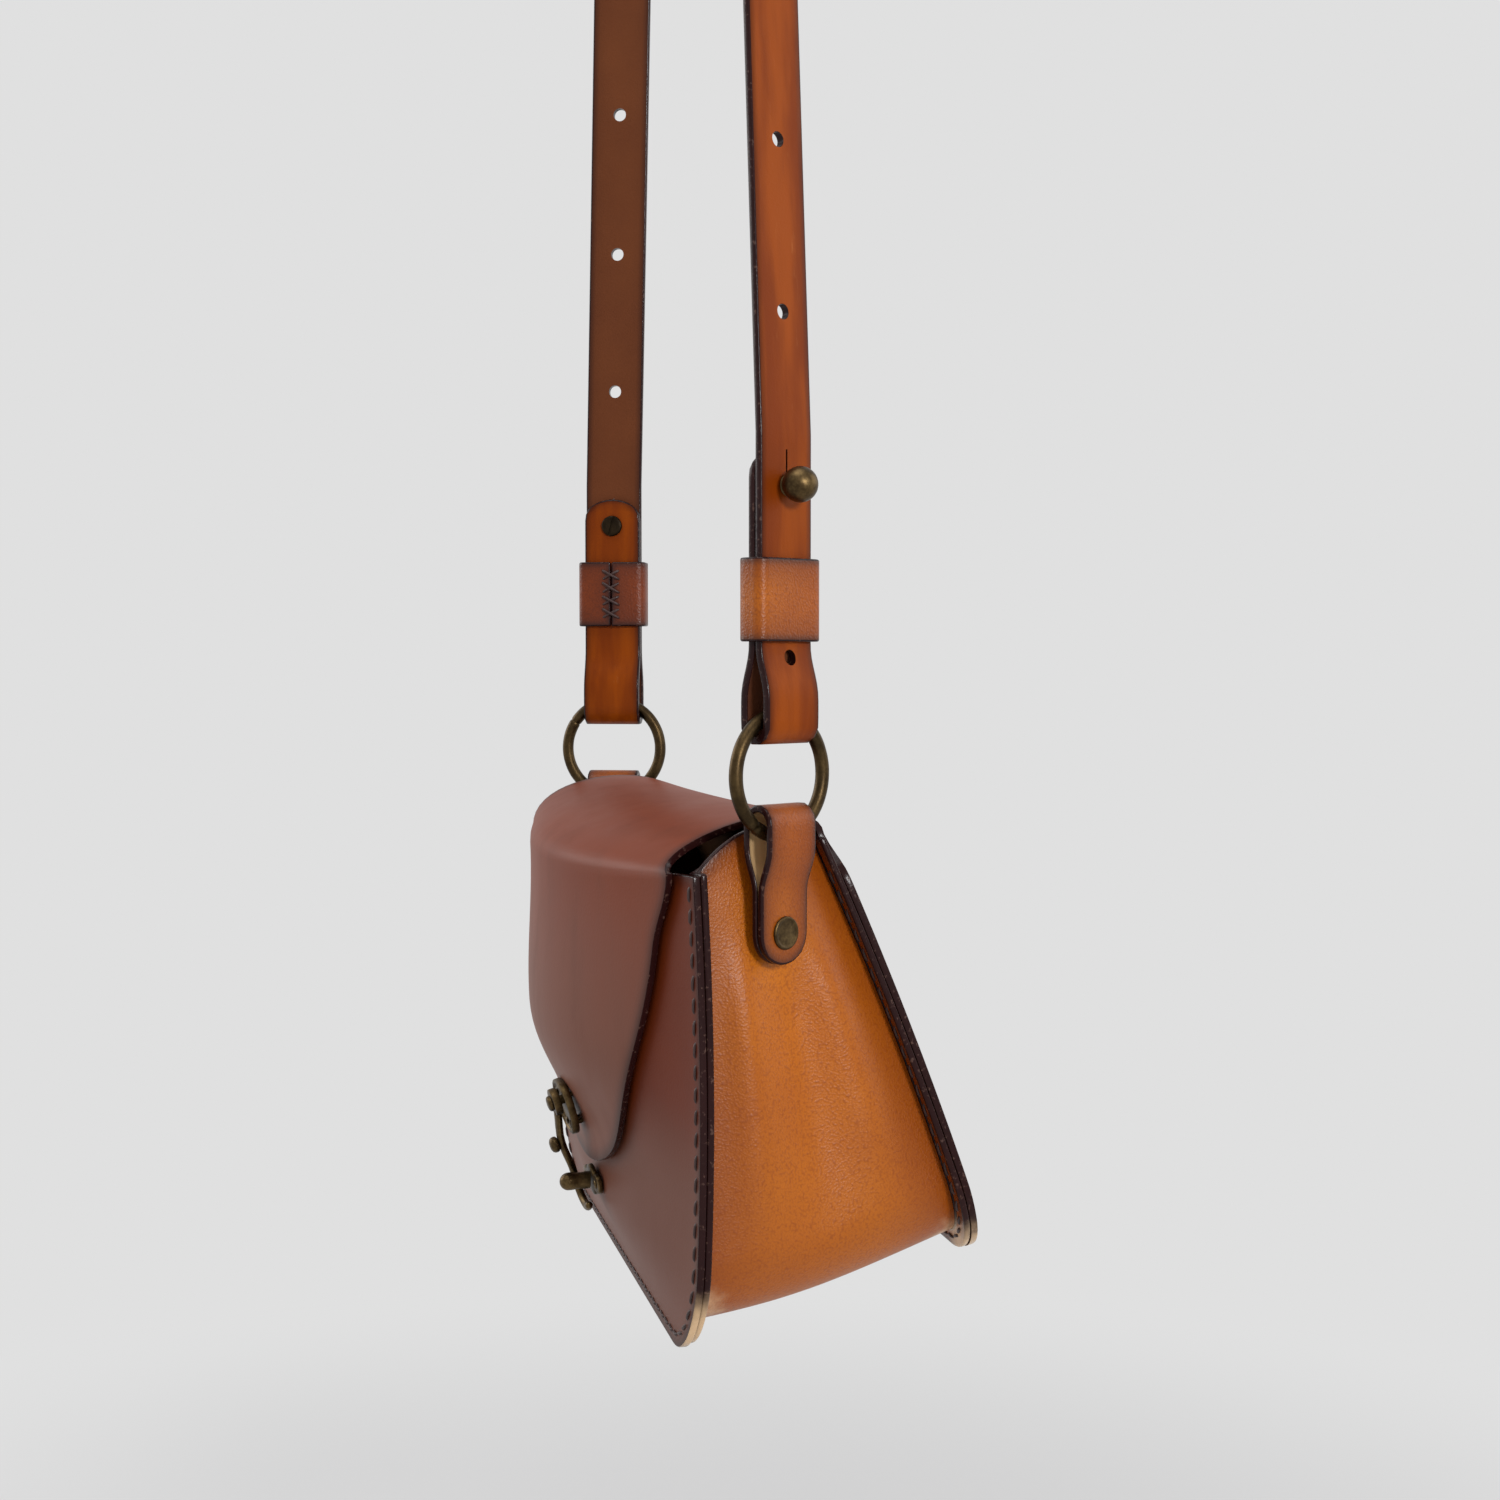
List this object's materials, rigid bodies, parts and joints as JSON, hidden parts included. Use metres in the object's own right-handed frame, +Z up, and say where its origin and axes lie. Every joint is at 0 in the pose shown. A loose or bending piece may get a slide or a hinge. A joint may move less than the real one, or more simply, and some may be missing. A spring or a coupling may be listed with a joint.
{
  "type": "shoulder bag",
  "caption": "Small flap-front leather shoulder bag on round rings, with a strap that buttons to length and a swing-lever clasp.",
  "frame": {"origin": "underside of the strap's top arch, where it rests on a peg", "axes": "+Z up as it hangs, -Y the front with the flap, X along the bag"},
  "size_m": [0.208, 0.1266, 0.6641],
  "materials": {
    "tan_leather": "pebbled, waxed",
    "dark_leather": "burnished dark tan",
    "thread": "waxed dark thread",
    "antique_brass": "antiqued",
    "strap_leather": "smooth grain outside, flesh inside"
  },
  "bodies": {
    "strap": {"shoulder_strap": "strap_leather", "stud_near": "antique_brass", "stud_far": "antique_brass", "stud_screw_near": "antique_brass", "stud_screw_far": "antique_brass"},
    "bag": {"front_panel": "dark_leather", "back_panel": "dark_leather", "gusset": "tan_leather", "front_stitching": "thread", "back_stitching": "thread", "ring_tab_near": "tan_leather", "ring_tab_far": "tan_leather", "tab_rivet_near": "antique_brass", "tab_rivet_far": "antique_brass", "post_plate": "antique_brass", "clasp_post": "antique_brass", "post_rivets": "antique_brass"},
    "flap": {"flap": "dark_leather", "clasp_plate": "antique_brass", "plate_rivets": "antique_brass", "clasp_pivot": "antique_brass"},
    "lever": {"swing_lever": "antique_brass", "lever_knob": "antique_brass"},
    "ring_near": {"ring_near": "antique_brass"},
    "ring_far": {"ring_far": "antique_brass"},
    "keeper_near": {"keeper_near": "tan_leather", "keeper_stitches_near": "thread"},
    "keeper_far": {"keeper_far": "tan_leather", "keeper_stitches_far": "thread"}
  },
  "joints": [
    {"name": "bag_swing", "type": "hinge", "parent": "strap", "child": "bag", "pos_m": [0, 0, -0.5], "axis": [1, 0, 0], "range_deg": [-8, 8]},
    {"name": "ring_near_turn", "type": "hinge", "parent": "strap", "child": "ring_near", "pos_m": [0.092, 0, -0.5], "axis": [0.8988, 0.4384, 0], "continuous": true},
    {"name": "ring_far_turn", "type": "hinge", "parent": "strap", "child": "ring_far", "pos_m": [-0.092, 0, -0.5], "axis": [-0.8988, 0.4384, 0], "continuous": true},
    {"name": "flap_hinge", "type": "hinge", "parent": "bag", "child": "flap", "pos_m": [0, 0.02021, -0.5185], "axis": [-1, 0, 0], "range_deg": [0, 120]},
    {"name": "lever_swing", "type": "hinge", "parent": "flap", "child": "lever", "pos_m": [0, -0.03929, -0.60644], "axis": [0, 0.958, 0.2869], "range_deg": [0, 90]},
    {"name": "keeper_near_slide", "type": "slide", "parent": "strap", "child": "keeper_near", "axis": [0, 0, 1], "range_m": [0, 0.012]},
    {"name": "keeper_far_slide", "type": "slide", "parent": "strap", "child": "keeper_far", "axis": [0, 0, 1], "range_m": [-0.007, 0.005]}
  ]
}
